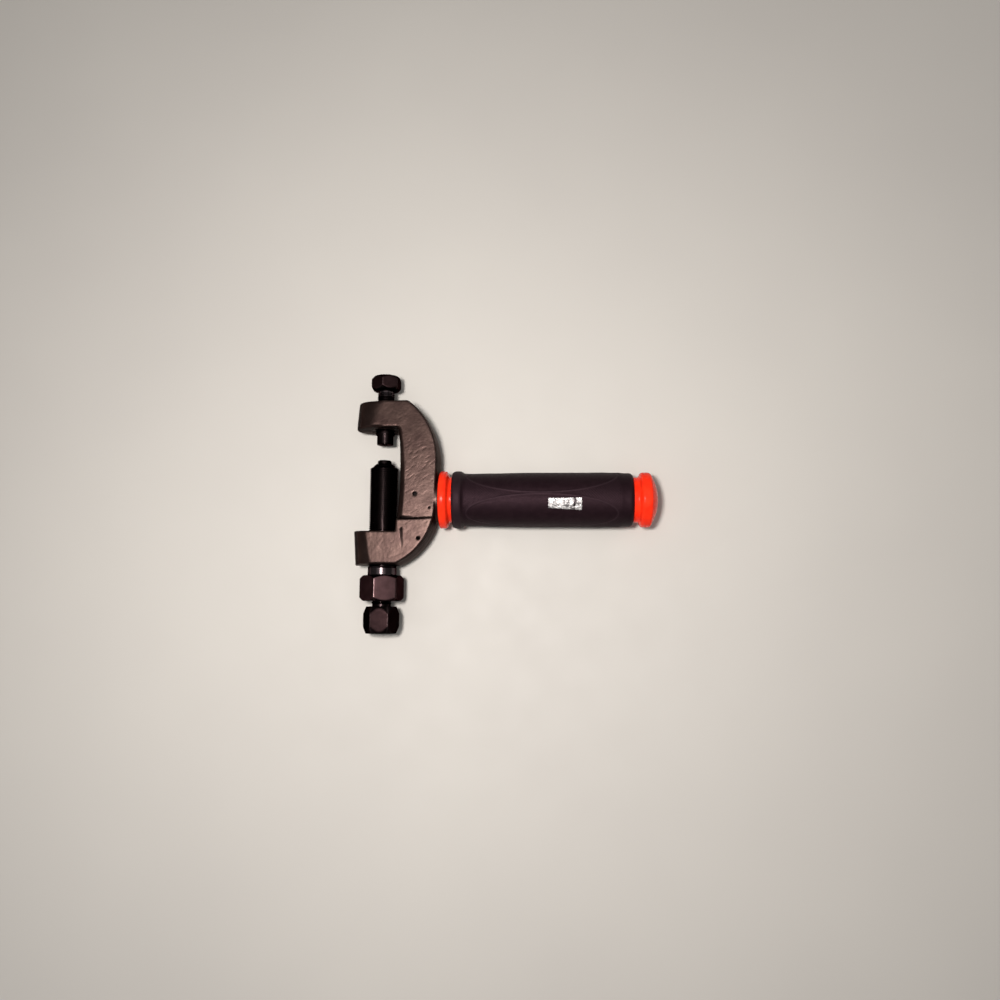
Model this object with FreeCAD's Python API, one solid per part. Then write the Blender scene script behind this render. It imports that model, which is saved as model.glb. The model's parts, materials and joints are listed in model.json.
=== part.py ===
"""C-frame screw press hand tool: pushes rivets out and flares new ones.

Modelled about the point where the screw axis (Y) crosses the handle axis (X), then moved so
that the origin is at the bottom centre of the whole tool as it lies flat, +Z up.
All lengths are in millimetres.
"""
import FreeCAD, Part
import math
import os

V = FreeCAD.Vector
X, Y, Z = V(1, 0, 0), V(0, 1, 0), V(0, 0, 1)
RUN = 0.05  # radial running clearance of screws and swivelling pieces

# Frame casting
ARM_TOP_IN, ARM_TOP_OUT = 49.4, 68.2  # faces of the upper arm
ARM_LOW_IN, ARM_LOW_OUT = -23.1, -45.4  # faces of the lower arm
FACE_Z = 16.0  # half thickness of the upper arm and spine
PAD_Z = 17.2  # half thickness of the raised lower arm
PAD_TOP = -14.2  # step between spine and raised lower arm
SPINE_OUT = 38.8
SPINE_IN = (14.4, 15.7, 13.1)  # spine's inner edge on the faces: foot, half way, upper arm
SPINE_IN_DEEP = (11.6, 13.4, 11.8)  # the same edge below its sloping shoulder
SHOULDER_DEPTH = 4.0  # how far below the faces the sloping shoulder ends
CORNER_R = 2.4
DRAFT = 1.0  # the casting is this much fuller at its parting plane
EDGE = 0.5  # bevel of the casting's edges
BOSS_R = 20.3
BOSS_TAPER = 1.6
BOSS_TOP_FULLNESS, BOSS_LOW_FULLNESS = 0.84, 0.96  # height of the bosses' ovals against their width

# Anvil bolt, M12 with a 19 mm hexagon
ANVIL_R = 6.0
ANVIL_HEX = 19.0
ANVIL_HEAD = (78.4, 88.6)
NOSE_END, NOSE_STEP, NOSE_TOP = 39.3, 46.0, ARM_TOP_IN - 0.3
NOSE_R, NOSE_TIP_R = 6.65, 5.8
ANVIL_BORE_R = 2.6

# Main screw, M20 with a 27 mm hexagon
MAIN_R = 10.0
MAIN_HEX = 27.0
MAIN_HEAD = (-70.6, -53.0)
MAIN_TIP, MAIN_CONE = 25.4, 22.0
MAIN_TIP_R = 5.5
ROD_BORE_R = 2.7
GUIDE_R = 4.9
GUIDE_GROOVE_R = 4.2
GUIDE_TIP, GUIDE_TAIL = 27.9, 12.2

# Inner screw, M14 with a 22 mm hexagon
PIN_R = 7.0
PIN_HEX = 22.0
PIN_HEAD = (-92.9, -74.4)
PIN_INNER = -28.5
PAD_FACE = -25.5  # pressing face of the thrust pad
PAD_R = 5.4
PAD_STEM_R = 2.4
CHAMBER_END = -23.0

# Handle, along +X
STUD_R = 6.0
STUD_ROOT, STUD_END = 20.0, 185.5
LOCK_X, LOCK_Y, LOCK_R = 24.0, 2.5, 1.5
LOCK_HALF = 12.0  # half length of the lock pin
COLLAR_PAD_R = 16.0  # round pad of the casting under the collar
COLLAR_X, COLLAR_STEP, GRIP_X0 = 40.0, 46.2, 49.1
COLLAR_R, NECK_R = 20.1, 15.9
CORE_R, CORE_BORE_R = 13.0, 6.5
CORE_X0, CORE_X1 = 44.0, 170.0
GRIP_X1 = 173.6
BEAD_R, WAIST_R, GRIP_R = COLLAR_R, 18.2, 18.9
CAP_STEP, CAP_RIM, CAP_END = 177.2, 185.8, 191.3
CAP_R = 19.1
WASHER_T, SPRING_T, NUT_T = 2.0, 2.5, 10.0
NUT_HEX = 19.0
FOIL_T = 0.15
FOIL_X = (115.2, 138.4)
FOIL_Y = (-8.8, -0.6)

# From the axes' crossing to the bottom centre of the whole tool
TO_ORIGIN = V(-(CAP_END - BOSS_R) / 2, -(ANVIL_HEAD[1] + PIN_HEAD[0]) / 2, COLLAR_R)


def rod(axis, start, end, radius, inner=0.0):
    """A round bar, or a tube if inner is given, along an axis through the crossing point."""
    bar = Part.makeCylinder(radius, end - start, axis * start, axis)
    if inner:
        bar = bar.cut(Part.makeCylinder(inner, end - start, axis * start, axis))
    return bar


def turned(axis, profile):
    """A solid turned about an axis, from (distance along it, radius) points."""
    side = Z
    points = [axis * along + side * radius for along, radius in profile]
    face = Part.Face(Part.makePolygon(points + [points[0]]))
    return face.revolve(V(0, 0, 0), axis, 360)


def hexagon(axis, start, end, across, turn, crown, slope):
    """A hexagon head with both ends turned to a cone, one flat turned from +Z towards +X."""
    corner = across / math.sqrt(3)
    points = []
    for i in range(7):
        angle = math.radians(turn + 30 + 60 * i)
        points.append(V(math.sin(angle), 0, math.cos(angle)) * corner + Y * start)
    prism = Part.Face(Part.makePolygon(points)).extrude(Y * (end - start))
    if axis == X:
        prism.rotate(V(0, 0, 0), Z, -90)
    reach = (corner + 1 - crown) * slope
    profile = [
        (start, 0),
        (start, crown),
        (start + reach, corner + 1),
        (end - reach, corner + 1),
        (end, crown),
        (end, 0),
    ]
    return prism.common(turned(axis, profile))


def clip_ring(axis, middle, inner, outer, width):
    """A split retaining ring of square wire."""
    ring = rod(axis, middle - width / 2, middle + width / 2, outer, inner)
    slot = Part.makeBox(1.2, 1.2, 2 * outer, V(-0.6, -0.6, 0))
    slot.translate(axis * middle)
    return ring.cut(slot)


def frame_outline(inner, grow):
    """The C shape at one level, grown sideways. Its arms end inside the bosses."""
    arm_end = -3.0
    foot_x, bow_x, corner_x = (x - grow for x in inner)
    side_x, foot_y, bow_y = 11.4 - grow, -13.4, 17.0
    top_in, top_out = ARM_TOP_IN - grow, ARM_TOP_OUT + grow
    low_in, low_out = ARM_LOW_IN + grow, ARM_LOW_OUT - grow
    spine_out = SPINE_OUT + grow
    slant = grow * math.sqrt(0.5)
    outer_top = ((18.1 + slant, top_out), (30.3 + slant, 55.0 + slant), (spine_out, 26.5))
    outer_foot = ((spine_out - 1.0, -4.8), (25.8 + slant, -35.2 - slant), (11.7, low_out))
    shoulder = ((side_x, -17.5), (side_x + (foot_x - side_x) / 4, -14.6), (foot_x, foot_y))
    inner_edge = ((foot_x, foot_y), (bow_x, bow_y), (corner_x, top_in - CORNER_R))
    half_way = CORNER_R * (1 - math.sqrt(0.5))
    inner_corner = (
        (corner_x, top_in - CORNER_R),
        (corner_x - half_way, top_in - half_way),
        (corner_x - CORNER_R, top_in),
    )
    bends = [
        outer_top,
        outer_foot,
        ((arm_end, low_out),),
        ((arm_end, low_in),),
        ((side_x - 0.4, low_in),),
        shoulder,
        inner_edge,
        inner_corner,
        ((arm_end, top_in),),
        ((arm_end, top_out),),
    ]
    edges = []
    here = None
    for bend in bends + [(bends[0][0],)]:
        points = [V(x, y, 0) for x, y in bend]
        if here and (points[0] - here).Length > 1e-6:
            edges.append(Part.makeLine(here, points[0]))
        if len(points) == 3:
            edges.append(Part.Arc(*points).toShape())
        here = points[-1]
    return Part.Wire(edges)


def level(inner, grow, height):
    """The grown outline at its height."""
    out = frame_outline(inner, grow)
    out.translate(Z * height)
    return out


def drafted_plate(half):
    """A plate with draft to both sides of its parting plane, sloping shoulders and bevelled edges."""
    levels = [
        level(SPINE_IN_DEEP, DRAFT, 0),
        level(SPINE_IN_DEEP, DRAFT / 3, half - SHOULDER_DEPTH),
        level(SPINE_IN, 0, half - EDGE),
        level(SPINE_IN, -EDGE, half),
    ]
    side = Part.makeLoft(levels, True, True)
    return side.fuse(side.mirror(V(0, 0, 0), Z))


def boss(inner_y, outer_y, half, fullness):
    """A tapered oval boss around the screw axis at the arm's free end, bevelled like the arm."""
    away = math.copysign(1, outer_y - inner_y)
    start, end = inner_y - away * DRAFT, outer_y + away * DRAFT
    cone = Part.makeCone(BOSS_R, BOSS_R - BOSS_TAPER, abs(end - start), Y * start, Y * away)
    squeeze = FreeCAD.Matrix()
    squeeze.scale(V(1, 1, fullness))
    oval = cone.transformGeometry(squeeze)
    upper = [
        (start, 0),
        (inner_y, half - EDGE),
        (inner_y + away * EDGE, half),
        (outer_y - away * EDGE, half),
        (outer_y, half - EDGE),
        (end, 0),
    ]
    section = upper + [(y, -z) for y, z in reversed(upper[1:-1])]
    points = [V(-BOSS_R, y, z) for y, z in section]
    arm = Part.Face(Part.makePolygon(points + [points[0]])).extrude(X * BOSS_R)
    return oval.common(arm)


def make_frame():
    """The C-frame casting with its two bosses, raised lower arm and machined holes."""
    plate = drafted_plate(FACE_Z)
    lower = drafted_plate(PAD_Z)
    below = Part.makeBox(80, 60, 60, V(-30, PAD_TOP - 60, -30))
    body = plate.fuse(lower.common(below))
    body = body.fuse(boss(ARM_TOP_IN, ARM_TOP_OUT, FACE_Z, BOSS_TOP_FULLNESS))
    body = body.fuse(boss(ARM_LOW_IN, ARM_LOW_OUT, PAD_Z, BOSS_LOW_FULLNESS))
    body = body.fuse(rod(X, SPINE_OUT - 3, COLLAR_X, COLLAR_PAD_R))
    holes = [
        rod(Y, ARM_TOP_IN - 5, ARM_TOP_OUT + 5, ANVIL_R + RUN),
        rod(Y, ARM_LOW_OUT - 5, ARM_LOW_IN + 5, MAIN_R + RUN),
        rod(X, STUD_ROOT, COLLAR_X + 5, STUD_R),
        Part.makeCylinder(LOCK_R, 4 * FACE_Z, V(LOCK_X, LOCK_Y, -2 * FACE_Z)),
    ]
    # Machined seats: around both bores inside the throat, and where the collar stands
    seats = [
        rod(Y, ARM_TOP_IN - 2, ARM_TOP_IN, NOSE_R + 2.0),
        rod(Y, ARM_LOW_IN, ARM_LOW_IN + 2, MAIN_R + 1.0),
        rod(X, COLLAR_X, COLLAR_X + 5, COLLAR_R),
    ]
    for tool in holes + seats:
        body = body.cut(tool)
    return body.removeSplitter()


def make_anvil_bolt():
    """Hollow M12 bolt whose reduced end turns inside the nose."""
    spigot_r = 4.2
    profile = [
        (NOSE_END + 2.1, 0),
        (NOSE_END + 2.1, spigot_r),
        (ARM_TOP_IN + 0.3, spigot_r),
        (ARM_TOP_IN + 0.3, ANVIL_R - 0.8),
        (ARM_TOP_IN + 1.1, ANVIL_R),
        (ANVIL_HEAD[0], ANVIL_R),
        (ANVIL_HEAD[0], 0),
    ]
    head = hexagon(Y, *ANVIL_HEAD, ANVIL_HEX, 25, 8.9, 1.2)
    bolt = turned(Y, profile).fuse(head)
    groove = rod(Y, 43.8, 45.2, 10, 3.5)
    return bolt.cut(groove).cut(rod(Y, 0, 100, ANVIL_BORE_R)).removeSplitter()


def make_anvil_nose():
    """Stepped cap on the anvil bolt's end, which stays still while the bolt turns."""
    profile = [
        (NOSE_END, 0),
        (NOSE_END, NOSE_TIP_R - 0.5),
        (NOSE_END + 0.5, NOSE_TIP_R),
        (NOSE_STEP, NOSE_TIP_R),
        (NOSE_STEP, NOSE_R - 0.4),
        (NOSE_STEP + 0.4, NOSE_R),
        (NOSE_TOP, NOSE_R),
        (NOSE_TOP, 0),
    ]
    nose = turned(Y, profile)
    nose = nose.cut(rod(Y, NOSE_END + 1.8, NOSE_TOP, 4.2 + RUN))
    nose = nose.cut(rod(Y, NOSE_END, NOSE_TOP, ANVIL_BORE_R))
    return nose.cut(rod(Y, 44.1, 44.9, 4.9))


def make_main_screw():
    """Hollow M20 pressing screw: rod bore, guide seat at its tip and tapped hole at its head."""
    profile = [
        (MAIN_HEAD[1], 0),
        (MAIN_HEAD[1], MAIN_R),
        (MAIN_CONE, MAIN_R),
        (MAIN_TIP, MAIN_TIP_R),
        (MAIN_TIP, 0),
    ]
    head = hexagon(Y, *MAIN_HEAD, MAIN_HEX, 19, 13.2, 1.0)
    screw = turned(Y, profile).fuse(head)
    bores = [
        rod(Y, MAIN_HEAD[0], CHAMBER_END, PIN_R + RUN),
        rod(Y, CHAMBER_END, MAIN_TIP, ROD_BORE_R),
        rod(Y, GUIDE_TAIL - 0.3, MAIN_TIP, GUIDE_R + RUN),
        rod(Y, 17.2, 18.8, GUIDE_R + 0.9),
    ]
    for bore in bores:
        screw = screw.cut(bore)
    return screw.removeSplitter()


def make_guide_nose():
    """Bush in the main screw's tip that guides a push rod and bears on the work."""
    profile = [
        (GUIDE_TAIL, ROD_BORE_R),
        (GUIDE_TAIL, GUIDE_R),
        (GUIDE_TIP - 1.2, GUIDE_R),
        (GUIDE_TIP - 0.35, GUIDE_R - 0.35),
        (GUIDE_TIP, GUIDE_R - 1.2),
        (GUIDE_TIP, ROD_BORE_R),
    ]
    bush = turned(Y, profile)
    return bush.cut(rod(Y, 17.5, 18.5, 10, GUIDE_GROOVE_R))


def make_pin_screw():
    """Inner M14 screw with a 22 mm hexagon and a socket for the thrust pad."""
    profile = [
        (PIN_HEAD[1], 0),
        (PIN_HEAD[1], PIN_R),
        (PIN_INNER - 1.2, PIN_R),
        (PIN_INNER, PIN_R - 1.2),
        (PIN_INNER, 0),
    ]
    head = hexagon(Y, *PIN_HEAD, PIN_HEX, 2.0, 10.5, 2.3)
    screw = turned(Y, profile).fuse(head)
    screw = screw.cut(rod(Y, PIN_INNER - 8.3, PIN_INNER, PAD_STEM_R + RUN))
    return screw.cut(rod(Y, PIN_INNER - 5.8, PIN_INNER - 4.2, 3.4)).removeSplitter()


def make_thrust_pad():
    """Hard button on the inner screw's end that pushes the rod without turning."""
    back = PIN_INNER + 0.3
    profile = [
        (PIN_INNER - 8.0, 0),
        (PIN_INNER - 8.0, PAD_STEM_R),
        (back, PAD_STEM_R),
        (back, PAD_R),
        (PAD_FACE - 0.6, PAD_R),
        (PAD_FACE, PAD_R - 0.6),
        (PAD_FACE, 0),
    ]
    pad = turned(Y, profile)
    return pad.cut(rod(Y, PIN_INNER - 5.5, PIN_INNER - 4.5, 10, 1.8))


def make_handle_stud():
    """Threaded stud from the frame's spine to the nut in the end cap."""
    stud = rod(X, STUD_ROOT, STUD_END, STUD_R)
    return stud.cut(Part.makeCylinder(LOCK_R, 40, V(LOCK_X, LOCK_Y, -20)))


def make_lock_pin():
    """Split pin across the stud, well below the casting's faces."""
    return Part.makeCylinder(LOCK_R, 2 * LOCK_HALF, V(LOCK_X, LOCK_Y, -LOCK_HALF))


def make_inner_collar():
    """Red collar: broad rounded flange against the frame, then a neck that meets the grip."""
    profile = [
        (COLLAR_X, STUD_R + 0.3),
        (COLLAR_X, COLLAR_R - 1.4),
        (COLLAR_X + 0.6, COLLAR_R - 0.4),
        (COLLAR_X + 2.0, COLLAR_R),
        (COLLAR_STEP - 2.4, COLLAR_R),
        (COLLAR_STEP - 0.9, COLLAR_R - 0.7),
        (COLLAR_STEP - 0.2, COLLAR_R - 1.9),
        (COLLAR_STEP + 0.4, NECK_R + 0.8),
        (COLLAR_STEP + 1.1, NECK_R),
        (GRIP_X0, NECK_R),
        (GRIP_X0, CORE_R),
        (CORE_X0, CORE_R),
        (CORE_X0, STUD_R + 0.3),
    ]
    return turned(X, profile)


def make_grip():
    """Rubber sleeve: rolled bead, narrow waist, gentle swell and a plain end band."""
    profile = [
        (GRIP_X0, CORE_R),
        (GRIP_X0, BEAD_R - 1.6),
        (GRIP_X0 + 0.7, BEAD_R - 0.4),
        (GRIP_X0 + 2.0, BEAD_R),
        (GRIP_X0 + 5.8, BEAD_R),
        (GRIP_X0 + 7.4, BEAD_R - 0.5),
        (GRIP_X0 + 8.8, WAIST_R + 0.1),
        (68.0, WAIST_R),
        (84.0, WAIST_R + 0.4),
        (100.0, GRIP_R),
        (150.0, GRIP_R),
        (GRIP_X1 - 2.0, GRIP_R),
        (GRIP_X1 - 0.6, GRIP_R - 0.6),
        (GRIP_X1, GRIP_R - 2.0),
        (GRIP_X1, CORE_R),
    ]
    return turned(X, profile)


def make_label_foil():
    """Blank foil label that follows the grip's round surface."""
    start, end = FOIL_X
    ring = rod(X, start, end, GRIP_R + FOIL_T, GRIP_R)
    low, high = FOIL_Y
    return ring.common(Part.makeBox(end - start, high - low, 2 * GRIP_R, V(start, low, 0)))


def make_end_cap():
    """Red hollow cap: spigot in the grip, neck, rounded flange and domed end."""
    rim_r = 17.4
    rise = CAP_END - CAP_RIM
    dome_r = (rim_r**2 + rise**2) / (2 * rise)
    half_way = math.asin(rim_r / dome_r) / 2
    crest = V(CAP_END - dome_r * (1 - math.cos(half_way)), 0, dome_r * math.sin(half_way))
    dome = Part.Arc(V(CAP_RIM, 0, rim_r), crest, V(CAP_END, 0, 0)).toShape()
    cavity_r, cavity_end = 12.4, 187.0
    points = [
        (CAP_END, 0),
        (cavity_end, 0),
        (cavity_end, cavity_r - 3.0),
        (cavity_end - 3.0, cavity_r),
        (CORE_X1 + 0.1, cavity_r),
        (CORE_X1 + 0.1, CORE_R),
        (GRIP_X1, CORE_R),
        (GRIP_X1, NECK_R - 0.2),
        (CAP_STEP - 0.5, NECK_R - 0.2),
        (CAP_STEP, CAP_R - 1.6),
        (CAP_STEP + 1.1, CAP_R - 0.4),
        (CAP_STEP + 2.4, CAP_R),
        (CAP_RIM - 2.6, CAP_R),
        (CAP_RIM - 0.9, CAP_R - 0.6),
        (CAP_RIM, rim_r),
    ]
    line = Part.makePolygon([V(x, 0, r) for x, r in points])
    face = Part.Face(Part.Wire(line.Edges + [dome]))
    return face.revolve(V(0, 0, 0), X, 360)


def make_spring_washer(start):
    """Split washer of square wire, pressed flat."""
    ring = rod(X, start, start + SPRING_T, 10.4, STUD_R + 0.2)
    slot = Part.makeBox(SPRING_T, 1.0, 12, V(start, -0.5, 0))
    return ring.cut(slot)


def make_handle_nut(start):
    """M12 nut with chamfered corners."""
    nut = hexagon(X, start, start + NUT_T, NUT_HEX, 0, 9.3, 0.6)
    return nut.cut(rod(X, start, start + NUT_T, STUD_R))


def build():
    """Every piece by its node name."""
    spring_x = CORE_X1 + WASHER_T
    return {
        "frame": make_frame(),
        "handle_stud": make_handle_stud(),
        "stud_lock_pin": make_lock_pin(),
        "handle_core": rod(X, CORE_X0, CORE_X1, CORE_R, CORE_BORE_R),
        "inner_collar": make_inner_collar(),
        "grip": make_grip(),
        "label_foil": make_label_foil(),
        "end_cap": make_end_cap(),
        "handle_washer": rod(X, CORE_X1, spring_x, 12.0, STUD_R + 0.3),
        "handle_spring_washer": make_spring_washer(spring_x),
        "handle_nut": make_handle_nut(spring_x + SPRING_T),
        "anvil_bolt": make_anvil_bolt(),
        "anvil_nose": make_anvil_nose(),
        "anvil_clip": clip_ring(Y, 44.5, 3.8, 4.9, 0.8),
        "main_screw": make_main_screw(),
        "guide_nose": make_guide_nose(),
        "guide_clip": clip_ring(Y, 18.0, GUIDE_GROOVE_R, GUIDE_R + 0.6, 1.0),
        "pin_screw": make_pin_screw(),
        "thrust_pad": make_thrust_pad(),
        "pad_clip": clip_ring(Y, PIN_INNER - 5.0, 1.8, 3.1, 1.0),
    }


os.makedirs("parts", exist_ok=True)
for name, piece in build().items():
    solid = piece.Solids[0]
    solid.translate(TO_ORIGIN)
    solid.exportStep("parts/" + name + ".step")
    print(name, len(piece.Solids), round(solid.Volume), solid.isValid())
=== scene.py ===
import json
import math

import bmesh
import bpy
import numpy as np
from mathutils import Matrix, Vector, noise

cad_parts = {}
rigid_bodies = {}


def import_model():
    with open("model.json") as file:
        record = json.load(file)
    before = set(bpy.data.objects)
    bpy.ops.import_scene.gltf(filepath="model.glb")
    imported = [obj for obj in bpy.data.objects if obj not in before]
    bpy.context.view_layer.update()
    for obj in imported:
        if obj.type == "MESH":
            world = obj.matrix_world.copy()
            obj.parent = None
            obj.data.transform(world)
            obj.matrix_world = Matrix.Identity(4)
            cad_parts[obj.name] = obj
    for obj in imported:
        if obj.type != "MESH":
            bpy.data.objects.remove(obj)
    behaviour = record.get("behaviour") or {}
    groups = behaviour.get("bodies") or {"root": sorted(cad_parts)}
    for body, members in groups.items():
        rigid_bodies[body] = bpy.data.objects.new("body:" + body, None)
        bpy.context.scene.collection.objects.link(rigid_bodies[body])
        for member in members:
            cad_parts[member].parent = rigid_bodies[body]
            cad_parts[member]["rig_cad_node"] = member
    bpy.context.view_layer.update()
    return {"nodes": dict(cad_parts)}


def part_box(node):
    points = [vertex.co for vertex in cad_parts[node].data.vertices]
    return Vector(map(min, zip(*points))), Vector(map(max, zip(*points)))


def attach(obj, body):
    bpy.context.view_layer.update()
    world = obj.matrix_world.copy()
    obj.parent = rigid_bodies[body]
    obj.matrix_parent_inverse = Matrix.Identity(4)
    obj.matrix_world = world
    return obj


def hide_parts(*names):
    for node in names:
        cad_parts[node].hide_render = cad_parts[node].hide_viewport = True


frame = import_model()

# A side-grip C-frame screw press. Lengths are in millimetres from the point where the screw
# axis (Y) crosses the handle axis (X), and become metres in the CAD frame in place().
MM = 0.001


def centre(node):
    low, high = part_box(node)
    return (low + high) / 2


CROSSING = Vector((centre("guide_nose").x, centre("handle_core").y, centre("handle_core").z))
NODES = frame["nodes"]


def span(node, axis):
    """Where a CAD node starts and ends along X (0) or Y (1), in millimetres from the crossing."""
    low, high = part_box(node)
    return (low[axis] - CROSSING[axis]) / MM, (high[axis] - CROSSING[axis]) / MM


def place(points):
    """Millimetres from the crossing to metres in the CAD frame."""
    return np.asarray(points, float) * MM + np.array(CROSSING)


# ---------------------------------------------------------------- turned meshes

# Columns over one side of a hexagon, in degrees from its middle, closer together at the corners.
SECTOR = (-30, -29.2, -28.2, -26.5, -24, -20, -15, -10, -5, 0, 5, 10, 15, 20, 24, 26.5, 28.2, 29.2)
THREAD_FORM = (
    (0.00, 1.0), (0.20, 1.0), (0.26, 0.88), (0.52, 0.10),
    (0.57, 0.0), (0.69, 0.0), (0.74, 0.10), (0.97, 0.90),
)  # share of the pitch, share of the thread depth below the crest
THREAD_DEPTH = 0.6134  # share of the pitch
SPARE_TURNS = 3  # extra turns of thread, which are flattened onto its two ends
FACES_AWAY = 0.3  # a side whose normal has a smaller cosine than this is not met
FAR = 1e3


def hexagon_columns(turn):
    """Column angles that crowd at a hexagon's corners. Angles run from +Z towards +X."""
    offsets = [60 * i + step for i in range(6) for step in SECTOR]
    return np.radians(np.array(offsets) + turn)


def round_columns(count):
    return np.linspace(0, 2 * math.pi, count, endpoint=False)


def softer(a, b, width):
    """The smaller of a and b, with the edge between them rounded."""
    return (a + b - np.sqrt((a - b) ** 2 + width**2)) / 2 + width / 8


def hexagon_radius(angles, across, turn, width=0.28):
    """Distance from the axis to a hexagon's sides, with its corners rounded."""
    sides = np.radians(np.arange(6) * 60 + turn)
    gaps = np.cos(angles[None, :] - sides[:, None])
    met = across / 2 / np.maximum(gaps, FACES_AWAY)
    reach = np.sort(np.where(gaps > FACES_AWAY, met, FAR), axis=0)
    return softer(reach[0], reach[1], width)


def rings(rows, angles, hexagon=None):
    """Grids of place along the axis and radius, from rows of the two, and 0 rows of shift.

    A hexagon, if given, cuts the rows inside its own span."""
    along = np.repeat([[row[0]] for row in rows], len(angles), axis=1)
    radius = np.repeat([[row[1]] for row in rows], len(angles), axis=1).astype(float)
    if hexagon:
        across, turn, start, end = hexagon
        inside = (along > start - 1e-6) & (along < end + 1e-6) & (radius > across / 2 - 0.9)
        cut = softer(radius, hexagon_radius(angles, across, turn)[None, :], 0.3)
        radius = np.where(inside, cut, radius)
    return along, radius, 0


def thread(start, end, pitch, major, angles, ends, run_out, limit=None):
    """Like rings, a right-hand helical thread that fades to the ends' radii over run_out.

    One turn shifts it by its number of rows per pitch. limit, if given, is the largest radius at
    each place, such as a cone."""
    steps = len(THREAD_FORM)
    depth = THREAD_DEPTH * pitch
    count = steps * (math.ceil((end - start) / pitch) + SPARE_TURNS) + 1
    row = np.arange(count)
    share = np.array(THREAD_FORM)[row % steps]
    base = start - pitch + pitch * (row // steps + share[:, 0])
    along = base[:, None] + pitch * (angles - angles[0])[None, :] / (2 * math.pi)
    radius = np.repeat((major - depth * share[:, 1])[:, None], len(angles), axis=1)
    if limit:
        radius = np.minimum(radius, limit(along))
    for edge, plain, way in ((start, ends[0], 1), (end, ends[1], -1)):
        near = np.clip((along - edge) * way / run_out, 0, 1)
        radius = plain + (radius - plain) * near
    along = np.clip(along, start, end)
    return along, radius, steps


def skin(name, axis, angles, parts):
    """One mesh around X or Y from rings and threads whose meeting rows are the same."""
    points, faces = [], []
    columns = len(angles)
    side = np.stack([np.sin(angles), np.cos(angles)], axis=1)
    for along, radius, shift in parts:
        start = sum(len(p) for p in points)
        a, r = along.ravel(), radius.ravel()
        s = np.tile(side, (len(along), 1))
        if axis == "Y":
            block = np.stack([r * s[:, 0], a, r * s[:, 1]], axis=1)
        else:
            block = np.stack([a, r * s[:, 0], r * s[:, 1]], axis=1)
        points.append(block)
        rows = len(along)
        j, i = np.meshgrid(np.arange(rows - 1), np.arange(columns), indexing="ij")
        last = i == columns - 1
        right = np.where(last, 0, i + 1)
        across = j + np.where(last, shift, 0)
        keep = across + 1 < rows
        quad = np.stack(
            [j * columns + i, across * columns + right,
             (across + 1) * columns + right, (j + 1) * columns + i], axis=-1)
        faces.append(quad[keep] + start)
    return mesh_object(name, place(np.concatenate(points)), np.concatenate(faces).tolist())


def mesh_object(name, points, faces, sharp=40):
    """A tidy closed mesh: joined points, outward normals, smooth except at sharp edges."""
    mesh = bpy.data.meshes.new(name)
    mesh.from_pydata(np.asarray(points).tolist(), [], faces)
    work = bmesh.new()
    work.from_mesh(mesh)
    bmesh.ops.remove_doubles(work, verts=work.verts, dist=3e-7)
    bmesh.ops.dissolve_degenerate(work, edges=work.edges, dist=1e-7)
    bmesh.ops.recalc_face_normals(work, faces=work.faces)
    work.to_mesh(mesh)
    work.free()
    mesh.polygons.foreach_set("use_smooth", [True] * len(mesh.polygons))
    mesh.set_sharp_from_angle(angle=math.radians(sharp))
    piece = bpy.data.objects.new(name, mesh)
    bpy.context.scene.collection.objects.link(piece)
    return piece


def softened(points, reach, steps=5):
    """An outline whose corners are rounded: each gives way to a curve of that reach."""
    out = [points[0][:2]]
    for before, here, after in zip(points, points[1:], points[2:]):
        b, h, a = (np.array(p[:2], float) for p in (before, here, after))
        size = here[2] if len(here) > 2 else reach
        back, ahead = b - h, a - h
        lengths = np.linalg.norm(back), np.linalg.norm(ahead)
        if size <= 0 or min(lengths) < 1e-6:
            out.append(tuple(h))
            continue
        first = h + back / lengths[0] * min(size, lengths[0] * 0.48)
        last = h + ahead / lengths[1] * min(size, lengths[1] * 0.48)
        for t in np.linspace(0, 1, steps):
            out.append(tuple(first * (1 - t) ** 2 + h * 2 * t * (1 - t) + last * t**2))
    out.append(points[-1][:2])
    return out


def ladder(points, step):
    """The outline with points added so that no stretch is longer than step."""
    out = [points[0]]
    for a, b in zip(points, points[1:]):
        count = max(1, math.ceil(math.dist(a[:2], b[:2]) / step))
        for k in range(1, count + 1):
            out.append(tuple(np.array(a[:2]) + (np.array(b[:2]) - np.array(a[:2])) * k / count))
    return out


# ---------------------------------------------------------------- materials


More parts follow.
